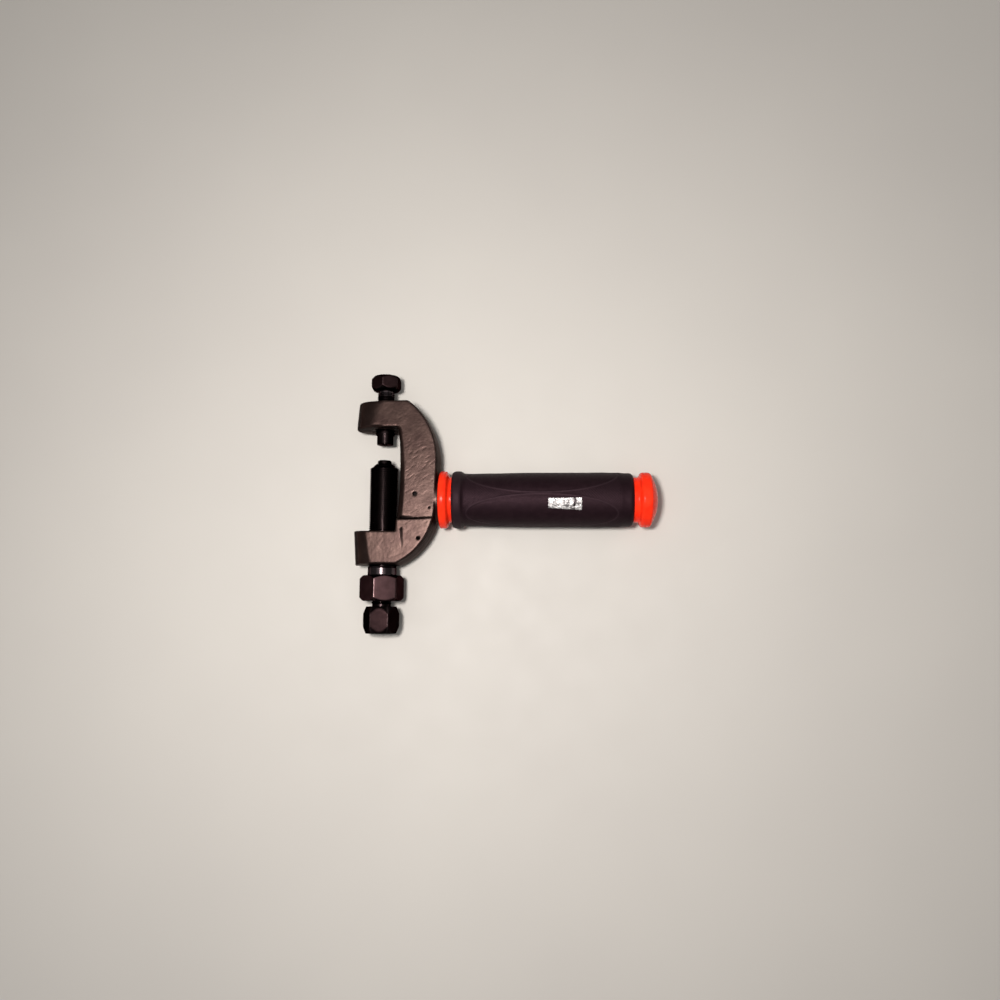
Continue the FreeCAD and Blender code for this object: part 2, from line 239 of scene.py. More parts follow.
class Nodes:
    """A small helper that adds shader nodes and links them by name."""

    def __init__(self, name, slot=""):
        self.material = bpy.data.materials.new(name)
        self.material.use_nodes = True
        self.tree = self.material.node_tree
        self.shader = self.tree.nodes["Principled BSDF"]
        self.slot = slot
        coordinates = self.tree.nodes.new("ShaderNodeTexCoord")
        self.here = coordinates.outputs["Object"]

    def add(self, kind, links=(), **settings):
        node = self.tree.nodes.new("ShaderNode" + kind)
        for key, value in settings.items():
            setattr(node, key, value)
        for socket, value in dict(links).items():
            target = node.inputs[socket]
            if isinstance(value, bpy.types.NodeSocket):
                self.tree.links.new(value, target)
            else:
                target.default_value = value
        return node

    def scaled(self, scale, turn=(0, 0, 0)):
        node = self.add("Mapping", {"Vector": self.here, "Scale": scale, "Rotation": turn})
        return node.outputs["Vector"]

    def noise(self, scale, detail=4, roughness=0.55, vector=None):
        links = {"Vector": vector or self.here, "Scale": scale, "Detail": detail,
                 "Roughness": roughness}
        return self.add("TexNoise", links).outputs["Fac"]

    def ramp(self, value, low, high, start=0.0, end=1.0):
        """Maps start..end of a value to low..high."""
        links = {"Value": value, "From Min": start, "From Max": end, "To Min": low, "To Max": high}
        return self.add("MapRange", links).outputs["Result"]

    def mix(self, factor, a, b):
        """Blends two colours."""
        node = self.add("Mix", data_type="RGBA")
        for socket, value in zip((0, 6, 7), (factor, a, b)):
            if isinstance(value, bpy.types.NodeSocket):
                self.tree.links.new(value, node.inputs[socket])
            else:
                node.inputs[socket].default_value = value
        return node.outputs[2]

    def multiply(self, a, b):
        """Multiplies two colours."""
        links = {0: 1.0, 6: a, 7: b}
        return self.add("Mix", links, data_type="RGBA", blend_type="MULTIPLY").outputs[2]

    def math(self, how, a, b):
        node = self.add("Math", operation=how)
        for socket, value in enumerate((a, b)):
            if isinstance(value, bpy.types.NodeSocket):
                self.tree.links.new(value, node.inputs[socket])
            else:
                node.inputs[socket].default_value = value
        return node.outputs[0]

    def grey(self, value):
        """A grey of that strength."""
        links = {"Red": value, "Green": value, "Blue": value}
        return self.add("CombineColor", links).outputs["Color"]

    def bump(self, height, distance, strength=1.0, below=None):
        links = {"Height": height, "Distance": distance, "Strength": strength}
        if below:
            links["Normal"] = below
        return self.add("Bump", links).outputs["Normal"]

    def attribute(self, name):
        return self.add("Attribute", attribute_name=name).outputs["Fac"]

    def set(self, **sockets):
        for key, value in sockets.items():
            target = self.shader.inputs[key.replace("_", " ")]
            if isinstance(value, bpy.types.NodeSocket):
                self.tree.links.new(value, target)
            else:
                target.default_value = value
        return self


def colour(r, g, b):
    return (r, g, b, 1.0)


def cast_paint():
    """Semi-gloss black paint over rough iron, thin and rubbed on the edges, with painted shade in its
    creases and pits.
    """
    n = Nodes("black_paint_on_casting", "black_painted_casting")
    cloud = n.noise(90, 5)
    speck = n.noise(1500, 3)
    patches = n.ramp(cloud, 0, 1, 0.35, 0.65)
    base = n.mix(patches, colour(0.034, 0.021, 0.019), colour(0.050, 0.032, 0.028))
    base = n.mix(n.ramp(speck, 0, 0.5, 0.45, 0.75), base, colour(0.018, 0.011, 0.010))
    rubbed = n.math("MULTIPLY", n.attribute("wear"), n.ramp(n.noise(700, 4), 0.0, 1.0, 0.4, 0.62))
    base = n.mix(rubbed, base, colour(0.14, 0.11, 0.10))
    # Painted shade: the creases and pits are darkened almost to black, as if in shadow.
    base = n.mix(n.attribute("crease_shade"), base, colour(0.003, 0.002, 0.002))
    rough = n.ramp(n.noise(420, 5), 0.33, 0.39, 0.3, 0.7)
    grain = n.bump(n.noise(2600, 3, 0.6), 0.00003, 0.5)
    pitted = n.bump(n.noise(900, 4, 0.6), 0.00006, 0.5, grain)
    return n.set(Base_Color=base, Roughness=rough, Normal=pitted, Metallic=0.85,
                 Specular_Tint=colour(0.25, 0.17, 0.15))


def black_oxide(name, shade):
    """Oiled black oxide: near-black turned surfaces, paler milled flats and polished necks."""
    n = Nodes(name, "black_oxide_steel")
    milled, polished = n.attribute("milled"), n.attribute("polished")
    tint = (1.0, 0.55, 0.59)
    cloud = n.ramp(n.noise(160, 5), 0.8, 1.25, 0.35, 0.7)
    base = n.mix(milled, colour(0.015, 0.0105, 0.011), colour(*(c * shade for c in tint)))
    base = n.mix(polished, base, colour(0.075, 0.060, 0.064))
    base = n.multiply(base, n.grey(cloud))
    worn = n.math("MULTIPLY", n.attribute("wear"), n.ramp(n.noise(900, 3), 0.1, 0.9, 0.35, 0.6))
    base = n.mix(worn, base, colour(0.085, 0.056, 0.058))
    rough = n.ramp(n.noise(500, 5), -0.04, 0.04, 0.3, 0.7)
    rough = n.math("ADD", rough, n.ramp(milled, 0.24, 0.45))
    rough = n.math("SUBTRACT", rough, n.math("MULTIPLY", polished, 0.06))
    marks = n.noise(1, 3, 0.5, n.scaled((40, 3000, 40)))
    fine = n.bump(marks, 0.00002, n.ramp(polished, 0.4, 0.04))
    return n.set(Base_Color=base, Roughness=rough, Normal=fine, Metallic=1.0,
                 Specular_Tint=colour(0.22, 0.15, 0.16))


def bright_steel(name, slot, tint, rough_low, rough_high):
    """Bare or plated steel with a soft grain."""
    n = Nodes(name, slot)
    grain = n.noise(1, 4, 0.5, n.scaled((300, 2500, 300)))
    darker = colour(*(c * 0.78 for c in tint))
    base = n.mix(n.ramp(n.noise(300, 4), 0, 1, 0.3, 0.7), colour(*tint), darker)
    rough = n.ramp(grain, rough_low, rough_high, 0.3, 0.7)
    return n.set(Base_Color=base, Roughness=rough, Normal=n.bump(grain, 0.00002, 0.5), Metallic=1.0)


def red_plastic():
    """Glossy moulded red plastic with a faint flow pattern and fine scuffs."""
    n = Nodes("glossy_red_plastic", "red_plastic")
    flow = n.noise(140, 3)
    base = n.mix(n.ramp(flow, 0, 1, 0.35, 0.65), colour(0.95, 0.038, 0.011), colour(0.84, 0.024, 0.007))
    scuffs = n.noise(1, 5, 0.6, n.scaled((900, 2600, 900), (0.3, 0.2, 0.6)))
    rough = n.ramp(scuffs, 0.20, 0.31, 0.35, 0.75)
    skin_bump = n.bump(n.noise(700, 2), 0.00003, 0.35)
    return n.set(Base_Color=base, Roughness=rough, Normal=skin_bump, Specular_IOR_Level=0.07)


def grip_rubber():
    """Matte black rubber, slightly dusty in the stippled fields."""
    n = Nodes("black_grip_rubber", "black_rubber")
    dust = n.noise(260, 5)
    dusty = n.ramp(dust, 0, 1, 0.4, 0.75)
    base = n.mix(dusty, colour(0.0066, 0.0029, 0.0042), colour(0.0105, 0.0050, 0.0068))
    rubbed = n.math("MULTIPLY", n.attribute("wear"), 0.6)
    base = n.mix(rubbed, base, colour(0.026, 0.016, 0.020))
    rough = n.ramp(n.noise(800, 4), 0.5, 0.64, 0.3, 0.7)
    grain = n.bump(n.noise(4200, 2), 0.00003, 0.6)
    return n.set(Base_Color=base, Roughness=rough, Normal=grain, Specular_IOR_Level=0.16,
                 Specular_Tint=colour(1.0, 0.6, 0.75))


def creased_foil():
    """Bright thin foil with creases and near-black streaks, strongest about seven tenths of the way
    along it.
    """
    n = Nodes("creased_silver_foil", "silver_foil")
    dull = n.noise(1, 3, 0.6, n.scaled((300, 90, 300), (0, 0, 0.6)))
    dark = n.math("MULTIPLY", n.ramp(dull, 0, 1, 0.43, 0.55), n.attribute("wear"))
    base = n.mix(dark, colour(0.50, 0.485, 0.49), colour(0.030, 0.022, 0.026))
    rough = n.ramp(n.noise(900, 5), 0.36, 0.6, 0.3, 0.7)
    creases = n.bump(n.noise(420, 4, 0.65), 0.00025, 1.0)
    return n.set(Base_Color=base, Roughness=rough, Normal=creases, Metallic=0.9)


def finish_with(piece, material):
    """Gives the piece its only material."""
    piece.data.materials.clear()
    piece.data.materials.append(material.material)


def put(piece, body, material, *stands_for):
    """The piece rides on its body, takes its material and stands for CAD nodes."""
    finish_with(piece, material)
    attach(piece, body)
    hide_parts(*stands_for)


def store(piece, name, values):
    """Keeps a value from 0 to 1 at each point, for the materials."""
    layer = piece.data.attributes.new(name, "FLOAT", "POINT")
    layer.data.foreach_set("value", np.clip(values, 0, 1).astype(np.float32))


def points_of(piece):
    """The piece's points in millimetres from the crossing."""
    co = np.empty(len(piece.data.vertices) * 3)
    piece.data.vertices.foreach_get("co", co)
    return (co.reshape(-1, 3) - np.array(CROSSING)) / MM


# ---------------------------------------------------------------- frame casting

VOXEL = 0.42
FACE_TOP = 14.6  # points higher than this lie on the upper flat side
HAMMER_ANGLE = 38  # direction of the hammered streaks, in degrees from X towards Y
STREAKS = (22, 26)  # where the streaks are strongest
BORES = ((-1, 10.08), (1, 6.08))  # way along Y from the crossing, and the bore's radius there
BORE_EDGE = 0.45  # skin this close to a bore's wall is part of it
MACHINED = (10.9, 6.9)  # the skin has no cast texture within these radii of the two bores' axis
STUD_SEAT = (19, 6.5)  # X where the stud's machined seat starts, and its radius
MARKS = (  # start, end, width, depth, and how far it dies out
    ((15.3, -21.5), (16.0, -34.0), 0.6, 0.5, 0.8),  # crease on the lower arm
    ((11.6, -13.9), (31.0, -14.4), 1.05, 1.1, 0.85),  # line across the arm's root
    ((26.9, -28.1), (27.2, -28.1), 0.75, 1.3, 0.0),  # larger pit
    ((34.1, -7.2), (34.1, -7.0), 0.5, 0.6, 0.0),  # small pit
)


def shape_copy(node, name, voxel):
    """An even, dense copy of a CAD node's mesh."""
    mesh = NODES[node].data.copy()
    mesh.name = name
    piece = bpy.data.objects.new(name, mesh)
    bpy.context.scene.collection.objects.link(piece)
    work = bmesh.new()
    work.from_mesh(mesh)
    bmesh.ops.remove_doubles(work, verts=work.verts, dist=1e-6)
    work.to_mesh(mesh)
    work.free()
    even = piece.modifiers.new("even", "REMESH")
    even.mode = "VOXEL"
    even.voxel_size = voxel * MM
    graph = bpy.context.evaluated_depsgraph_get()
    dense = bpy.data.meshes.new_from_object(piece.evaluated_get(graph))
    piece.modifiers.clear()
    piece.data = dense
    dense.name = name
    return piece


def neighbour_mean(mesh, values):
    """Each point's mean of its neighbours' values."""
    edges = np.empty(len(mesh.edges) * 2, int)
    mesh.edges.foreach_get("vertices", edges)
    a, b = edges.reshape(-1, 2).T
    total = np.zeros_like(values)
    np.add.at(total, a, values[b])
    np.add.at(total, b, values[a])
    count = np.bincount(np.concatenate([a, b]), minlength=len(values))
    return total / np.maximum(count, 1)[:, None]


def groove(points, start, end, width, depth, taper=0.0):
    """How deep a short straight crease cuts at each point. A taper of 1 lets it die out."""
    a, b = np.array(start), np.array(end)
    along = np.clip((points[:, :2] - a) @ (b - a) / ((b - a) @ (b - a)), 0, 1)
    gap = np.linalg.norm(points[:, :2] - (a + along[:, None] * (b - a)), axis=1)
    left = 1 - taper * along
    return depth * left * np.exp(-((gap / (width * (0.4 + 0.6 * left))) ** 2))


def cast_surface(points, normals):
    """How far the casting lies below its nominal skin: broad lumps, streaks and grain."""
    flat = np.abs(normals[:, 2]) ** 4
    c, s = math.cos(math.radians(HAMMER_ANGLE)), math.sin(math.radians(HAMMER_ANGLE))
    low = np.empty(len(points))
    for k, (x, y, z) in enumerate(points):
        lumps = noise.fractal((x / 9, y / 9, z / 9), 1.0, 2.0, 3)
        grain = noise.fractal((x / 1.7, y / 1.7, z / 1.7), 0.9, 2.1, 2)
        u, v = c * x + s * y, c * y - s * x
        stroke = noise.noise((u / 4.2, v / 1.25, z / 6 + 7.3))
        field = noise.noise((x / 11 + 3.1, y / 11, z / 11))
        near = math.exp(-(((x - STREAKS[0]) / 12) ** 2) - ((y - STREAKS[1]) / 16) ** 2)
        low[k] = 0.06 * lumps + 0.022 * grain
        low[k] += flat[k] * max(0.0, stroke - 0.18) * (0.05 + 0.07 * max(0.0, field) + 0.12 * near)
    return low + 0.12


def smoothed(mesh, points, rounds, strength=0.5):
    for _ in range(rounds):
        points = points + (neighbour_mean(mesh, points) - points) * strength
    return points


def outward(mesh):
    normals = np.empty(len(mesh.vertices) * 3)
    mesh.vertices.foreach_get("normal", normals)
    return normals.reshape(-1, 3)


def tighter_pin_hole(points):
    """Draws the mouth of the lock pin's hole in, which smoothing has widened."""
    pin = (centre("stud_lock_pin") - CROSSING) / MM
    away = points[:, :2] - np.array(pin)[:2]
    gap = np.linalg.norm(away, axis=1)
    above = np.clip((np.abs(points[:, 2]) - 12.6) / 0.5, 0, 1)
    draw = 0.5 * np.exp(-(((gap - 1.9) / 0.8) ** 2)) * above * (gap > 0.6)
    drawn = points.copy()
    drawn[:, :2] -= away / np.maximum(gap, 0.1)[:, None] * draw[:, None]
    return drawn


def build_frame():
    """The C-frame: dense copy of the CAD casting, softened, hammered and creased, with painted shade
    kept for its creases and pits.
    """
    piece = shape_copy("frame", "c_frame_casting", VOXEL)
    mesh = piece.data
    exact = points_of(piece)
    soft = smoothed(mesh, exact, 5)
    rounder = smoothed(mesh, soft, 60)
    upper_end = np.clip((1.0 - soft[:, 0]) / 3.0, 0, 1) * np.clip((soft[:, 1] - 44.0) / 3.0, 0, 1)
    soft = soft + (rounder - soft) * upper_end[:, None]
    soft = tighter_pin_hole(soft)
    mesh.vertices.foreach_set("co", place(soft).ravel())
    mesh.update()
    normals = outward(mesh)
    sunk = np.clip(cast_surface(soft, normals), 0.02, 0.7)
    top = soft[:, 2] > FACE_TOP
    cut = np.zeros(len(soft))
    for mark in MARKS:
        cut += np.where(top, groove(soft, *mark), 0)
    sunk += cut
    # Painted shade: the deeper a crease or pit cuts, the darker its paint.
    store(piece, "crease_shade", cut / 0.5)
    radial_main = np.hypot(soft[:, 0], soft[:, 2])
    seat_start, seat_r = STUD_SEAT
    in_bore = radial_main < np.where(soft[:, 1] < 0, *MACHINED)
    in_seat = (np.hypot(soft[:, 1], soft[:, 2]) < seat_r) & (soft[:, 0] > seat_start)
    sunk = np.where(in_bore | in_seat, 0, sunk)
    moved = soft - normals * sunk[:, None]
    for side, wall in BORES:
        inside = (soft[:, 1] * side > 0) & (radial_main < wall + BORE_EDGE)
        scale = wall / np.maximum(radial_main, 1e-6)
        moved[inside, 0] = soft[inside, 0] * scale[inside]
        moved[inside, 2] = soft[inside, 2] * scale[inside]
    mesh.vertices.foreach_set("co", place(moved).ravel())
    mesh.update()
    blurred = smoothed(mesh, moved, 12)
    proud = np.einsum("ij,ij->i", moved - blurred, outward(mesh))
    store(piece, "wear", (proud - 0.10) / 0.30)
    mesh.polygons.foreach_set("use_smooth", [True] * len(mesh.polygons))
    put(piece, "frame_body", cast_paint(), "frame")


# ---------------------------------------------------------------- screws


def hexagon_rows(start, end, crown, slope, across):
    """Outline of a hexagon head between two turned cones: (along, radius) from start to end."""
    corner = across / math.sqrt(3) + 0.2
    reach = (corner - crown) * slope
    cone = [(start, crown - 0.25), (start + 0.12, crown), (start + reach, corner)]
    outline = cone + [(end + start - along, radius) for along, radius in reversed(cone)]
    return ladder(outline, 0.3)


def head_wear(piece, start, end, across, turn):
    """Rubbed corners of a hexagon head."""
    points = points_of(piece)
    angles = np.arctan2(points[:, 0], points[:, 2])
    sector = np.degrees(angles) - turn
    off = np.abs((sector + 30) % 60 - 30)
    radius = np.hypot(points[:, 0], points[:, 2])
    on_head = (points[:, 1] > start - 0.1) & (points[:, 1] < end + 0.1) & (radius > across / 2 - 0.5)
    flat_reach = across / 2 / np.cos(np.radians(off))
    store(piece, "milled", on_head & (radius > flat_reach - 0.25) & (off < 29))
    return np.where(on_head, np.clip((off - 27.2) / 2.8, 0, 1), 0)


def ring_mask(piece, start, end, largest):
    """Which points lie on a turned stretch of a screw."""
    points = points_of(piece)
    radius = np.hypot(points[:, 0], points[:, 2])
    return (points[:, 1] > start) & (points[:, 1] < end) & (radius < largest)


def cone_between(a, b):
    """Radius of the straight cone through two (along, radius) points."""
    rate = (b[1] - a[1]) / (b[0] - a[0])
    return lambda along: a[1] + (along - a[0]) * rate


def build_main_screw(steel):
    """Hollow main screw: hexagon head, polished neck, thread, coned tip and bores."""
    low, tip = span("main_screw", 1)
    head_end, major, pitch = low + 17.6, 10.0, 1.5
    cone_start, turn, across = (tip - 3.4, major), 19, 27.0
    angles = hexagon_columns(turn)
    cone = cone_between(cone_start, (tip, 5.5))
    thread_end = tip - 1.6
    inner = span("guide_nose", 1)[0] - 0.3
    chamber = span("thrust_pad", 1)[1] + 2.5
    head = [(low, 7.7)] + hexagon_rows(low, head_end, 13.2, 1.0, across) + [(head_end, 10.6)]
    neck_end = head_end + 5.0
    neck = [(head_end, 10.6), (head_end + 0.25, 10.15), (head_end + 0.7, major),
            (head_end + 0.8, major), (neck_end - 0.2, major), (neck_end, major)]
    nose = [(thread_end, float(cone(thread_end))), (tip - 0.25, float(cone(tip - 0.25))),
            (tip, 5.35), (tip, 5.05), (tip - 0.2, 4.96), (inner, 4.96), (inner, 2.7),
            (chamber, 2.7), (chamber, 7.05), (low + 0.7, 7.05), (low, 7.7)]
    parts = [
        rings(head, angles, (across, turn, low, head_end)),
        rings(neck, angles),
        thread(neck_end, thread_end, pitch, major, angles,
               (major, float(cone(thread_end))), 1.6, cone),
        rings(nose, angles),
    ]
    piece = skin("pressing_screw", "Y", angles, parts)
    store(piece, "polished", ring_mask(piece, head_end + 0.3, head_end + 5.4, 10.3))
    store(piece, "wear", head_wear(piece, low, head_end, across, turn))
    put(piece, "main_screw_body", steel, "main_screw")


def build_inner_screw(steel):
    """Inner screw: strongly coned hexagon head, short neck, fine thread, drilled end."""
    low, end = span("pin_screw", 1)
    head_end, major, pitch = low + 18.5, 7.0, 1.5
    turn, across = 2.0, 22.0
    angles = hexagon_columns(turn)
    head = [(low + 0.35, 0.0), (low + 0.35, 7.6), (low, 8.4)]
    head += hexagon_rows(low, head_end, 10.5, 2.3, across) + [(head_end, 7.5)]
    neck = [(head_end, 7.5), (head_end + 0.2, 6.4), (head_end + 0.3, 6.4), (head_end + 1.5, 6.4),
            (head_end + 1.6, 6.4), (head_end + 2.2, major)]
    tip = [(end - 1.2, 6.5), (end, 5.8), (end, 2.6), (end - 8.3, 2.45), (end - 8.3, 0.0)]
    parts = [
        rings(head, angles, (across, turn, low, head_end)),
        rings(neck, angles),
        thread(head_end + 2.2, end - 1.2, pitch, major, angles, (major, 6.5), 0.9),
        rings(tip, angles),
    ]
    piece = skin("inner_push_screw", "Y", angles, parts)
    store(piece, "wear", head_wear(piece, low, head_end, across, turn))
    put(piece, "pin_screw_body", steel, "pin_screw")


def build_anvil_bolt(steel):
    """Hollow anvil bolt: hexagon head at the top, thread below, turned-down lower end."""
    low, top = span("anvil_bolt", 1)
    head_start, major, pitch = top - 10.2, 6.0, 1.25
    turn, across, bore = 25, 19.0, 2.6
    shoulder = span("anvil_nose", 1)[1] + 0.6
    angles = hexagon_columns(turn)
    foot = [(low, bore + 0.2), (low + 0.2, bore), (top - 0.5, bore), (top, bore + 0.5)]
    head = [(top, bore + 0.5)]
    head += list(reversed(hexagon_rows(head_start, top, 8.9, 1.2, across))) + [(head_start, 6.6)]
    neck = [(head_start, 6.6), (head_start - 0.3, 5.3), (head_start - 0.4, 5.3),
            (head_start - 1.9, 5.3), (head_start - 2.0, 5.3), (head_start - 2.6, major)]
    spigot = [(shoulder + 0.8, major - 0.4), (shoulder, 5.2), (shoulder, 4.2), (low + 0.3, 4.2),
              (low, 3.9), (low, bore + 0.2)]
    parts = [
        rings(foot, angles),
        rings(head, angles, (across, turn, head_start, top)),
        rings(neck, angles),
        thread(shoulder + 0.8, head_start - 2.6, pitch, major, angles, (major - 0.4, major), 1.0),
        rings(spigot, angles),
    ]
    piece = skin("anvil_bolt_hollow", "Y", angles, parts)
    store(piece, "polished", ring_mask(piece, head_start - 4.5, head_start - 0.3, 6.3))
    store(piece, "wear", head_wear(piece, head_start, top, across, turn))
    put(piece, "anvil_bolt_body", steel, "anvil_bolt")


def build_noses(steel):
    """The anvil nose under the upper arm and the guide bush in the main screw's tip."""
    low, top = span("anvil_nose", 1)
    step = low + 6.7
    outline = [(low, 2.6, 0), (low, 5.8, 0.5), (step, 5.8, 0.25), (step, 6.65, 0.45), (top, 6.65, 0.3),
               (top, 4.25, 0), (low + 1.8, 4.25, 0), (low + 1.8, 2.6, 0), (low, 2.6, 0)]
    angles = round_columns(112)
    nose = skin("stepped_anvil_nose", "Y", angles, [rings(softened(outline, 0.2), angles)])
    put(nose, "anvil_nose_body", steel, "anvil_nose")
    low, top = span("guide_nose", 1)
    outline = [(low, 2.7, 0), (low, 4.9, 0.2), (top, 4.9, 1.2), (top, 2.7, 0.3), (low, 2.7, 0)]
    bush = skin("guide_bush", "Y", angles, [rings(softened(outline, 0.2), angles)])
    put(bush, "guide_body", steel, "guide_nose")


# ---------------------------------------------------------------- handle

GRIP_R = 18.9  # the radius at which the grip's pattern is laid out
GRIP_PANELS = (-36.5, 53.5, 143.5, 233.5)  # middle of each smooth panel, in degrees from +Z to +Y
PANEL_HALF = (51.8, 43.5)  # half length in millimetres, half width in degrees
STUD_PITCH = 1.85  # of the crossed stipple
FOIL_CAD_R, FOIL_R = 18.95, 19.16  # radius of the CAD's foil, and of the visual foil without creases


def build_collar(red):
    """Inner collar: fat rounded flange, a shallow step and the neck that meets the grip."""
    start, end = span("inner_collar", 0)
    outline = [(start, 6.3, 0), (start, 20.1, 1.5), (end - 4.0, 20.1, 2.0), (end - 2.5, 15.9, 1.2),
               (end, 15.9, 0.2), (end, 13.0, 0), (end - 5.1, 13.0, 0), (end - 5.1, 6.3, 0),
               (start, 6.3, 0)]
    angles = round_columns(144)
    piece = skin("inner_red_collar", "X", angles, [rings(softened(outline, 0.5, 7), angles)])
    put(piece, "frame_body", red, "inner_collar")


def build_end_cap(red):
    """Outer cap: neck, rounded flange and domed end, hollow for the nut."""
    start, end = span("end_cap", 0)
    rim_r, rise = 17.3, 4.9
    neck, step, rim = start + 3.5, end - 13.5, end - rise
    dome_r = (rim_r**2 + rise**2) / (2 * rise)
    edge = math.asin(rim_r / dome_r)
    dome = [(end - dome_r * (1 - math.cos(a)), dome_r * math.sin(a)) for a in np.linspace(edge, 0, 24)]
    outside = [(neck, 13.0, 0), (neck, 15.7, 0.3), (step, 15.7, 1.3), (step + 1.3, 19.1, 1.7),
               (rim - 1.0, 19.1, 2.4), dome[0]]
    inside = [(end, 0.0), (end - 4.3, 0.0), (end - 4.3, 9.4), (end - 7.3, 12.4), (start, 12.4),
              (start, 13.0), (neck, 13.0)]
    angles = round_columns(144)
    outline = softened(outside, 0.5, 7) + dome[1:-1] + inside
    piece = skin("outer_red_cap", "X", angles, [rings(outline, angles)])
    put(piece, "frame_body", red, "end_cap")


def grip_outline(start, end):
    """The sleeve's plain radius along its length: bead, waist, swell and end band."""
    outline = [(start, 18.4), (start, 19.2, 0.6), (start + 1.8, 20.1, 1.0), (start + 6.0, 20.1, 1.4),
               (start + 8.0, 18.3, 1.2), (start + 19, 18.2, 6), (start + 50, GRIP_R, 8),
               (end - 8.6, GRIP_R, 1.5), (end - 6.4, 18.65, 1.5), (end - 1.6, 18.65, 1.2),
               (end, 17.4, 0.6), (end, 16.0)]
    return ladder(softened(outline, 1.0, 7), 0.45)


def panel_depth(x, degrees, middle):
    """Signed distance in millimetres from the nearest smooth panel's outline; inside is negative."""
    best = np.full(x.shape, FAR)
    half_x, half_a = PANEL_HALF
    for panel in GRIP_PANELS:
        off = (degrees - panel + 180) % 360 - 180
        across = off * math.pi / 180 * GRIP_R
        half_s = half_a * math.pi / 180 * GRIP_R
        level = np.sqrt(((x - middle) / half_x) ** 2 + (across / half_s) ** 2)
        slope = np.sqrt(((x - middle) / half_x**2) ** 2 + (across / half_s**2) ** 2)
        best = np.minimum(best, (level - 1) * level / np.maximum(slope, 1e-6))
    return best


def stipple(along, degrees, depth, middle):
    """Height of the crossed stipple, from 0 to 1, and how much of it each place has."""
    turns = degrees / 360 * round(2 * math.pi * GRIP_R / STUD_PITCH)
    lead = along / STUD_PITCH
    studs = np.abs(np.sin(math.pi * (turns + lead))) * np.abs(np.sin(math.pi * (turns - lead)))
    field = np.clip((depth - 0.9) / 0.8, 0, 1) * np.clip((np.abs(along - middle) - 22) / 4, 0, 1)
    return studs, field


def build_grip():
    """Rubber sleeve with four outlined smooth panels and stippled fields at both ends."""
    start, end = span("grip", 0)
    rows = grip_outline(start, end)
    angles = round_columns(280)
    along, radius, _ = rings(rows, angles)
    degrees = np.degrees(angles)[None, :] + np.zeros_like(along)
    middle = (start + end) / 2 - 0.4
    depth = panel_depth(along, degrees, middle)
    body = np.clip((along - start - 8) / 1.5, 0, 1) * np.clip((end - 8.2 - along) / 1.0, 0, 1)
    ridge = 0.26 * np.exp(-((depth / 0.42) ** 2))
    studs, field = stipple(along, degrees, depth, middle)
    panel = 0.12 * np.clip(-depth / 2.5, 0, 1)
    radius = radius + body * (ridge + panel + field * (0.34 * studs - 0.17))
    bore = rings([rows[-1], (end, 13.0), (start, 13.0), rows[0]], angles)
    piece = skin("rubber_grip", "X", angles, [(along, radius, 0), bore])
    points = points_of(piece)
    here = np.degrees(np.arctan2(points[:, 1], points[:, 2]))
    gap = panel_depth(points[:, 0], here, middle)
    out = np.hypot(points[:, 1], points[:, 2])
    studs, field = stipple(points[:, 0], here, gap, middle)
    wear = np.exp(-((gap / 0.5) ** 2)) + 0.55 * field * studs
    wear = wear * np.clip((points[:, 0] - start - 9) / 2, 0, 1)
    wear = wear * np.clip((end - 9 - points[:, 0]) / 2, 0, 1) * (out > 17)
    store(piece, "wear", wear + 0.5 * (out > 19.6))
    put(piece, "frame_body", grip_rubber(), "grip")


def build_label():
    """Blank creased foil that follows the grip."""
    x0, x1 = span("label_foil", 0)
    y0, y1 = span("label_foil", 1)
    low, high = math.asin(y0 / FOIL_CAD_R), math.asin(y1 / FOIL_CAD_R)
    columns, rows = 96, 44
    points, faces = [], []
    for i in range(columns + 1):
        share = i / columns
        x = x0 + 0.25 + (x1 - x0 - 0.5) * share
        edge = 0.016 * noise.noise((x / 1.6, 2.0, 0.5))
        bottom = low + 0.075 * (1 - share) + edge
        top = high - 0.02 * (1 - share) + 0.5 * edge
        for k in range(rows + 1):
            a = bottom + (top - bottom) * k / rows
            crease = noise.fractal((x / 3.1, a * 7, 4.0), 0.8, 2.2, 3)
            fold = abs(noise.noise((x / 2.2 + a * 11, a * 5 - x / 9, 1.5)))
            r = FOIL_R + 0.14 * crease + 0.34 * fold
            ragged = 0.2 * noise.noise((a * 30, x / 30, 3.0))
            points.append((x + ragged, r * math.sin(a), r * math.cos(a)))
            if i and k:
                here = i * (rows + 1) + k
                faces.append((here, here - 1, here - 2 - rows, here - 1 - rows))
    piece = mesh_object("blank_foil_label", place(points), faces, sharp=60)
    share = (points_of(piece)[:, 0] - x0) / (x1 - x0)
    # Sets where the foil's near-black streaks are strongest: about seven tenths of the way along it.
    store(piece, "wear", 0.3 + 0.8 * np.exp(-(((share - 0.70) / 0.22) ** 2)))
    thick = piece.modifiers.new("thickness", "SOLIDIFY")
    thick.thickness = 0.06 * MM
    thick.offset = -1
    put(piece, "frame_body", creased_foil(), "label_foil")


# ---------------------------------------------------------------- scene

FLOOR_SIZE = 40.0  # metres
KEY_SPOT = CROSSING + Vector((0.018, -0.030, 0.60))
CAMERA_SPOT = CROSSING + Vector((0.10982, -0.07274, 0.57787))
CAMERA_AIM = CROSSING + Vector((0.08184, 0.00001, 0.0))
CAMERA_ROLL = 0.35  # degrees
LENS, SENSOR = 30.0, 36.0  # millimetres


def dress_hidden_parts(steels):
    """Materials for the CAD pieces that stay as they are, mostly inside the tool."""
    for node, steel in steels.items():
        piece = NODES[node]
        finish_with(piece, steel)
        piece.data.polygons.foreach_set("use_smooth", [True] * len(piece.data.polygons))
        piece.data.set_sharp_from_angle(angle=math.radians(35))


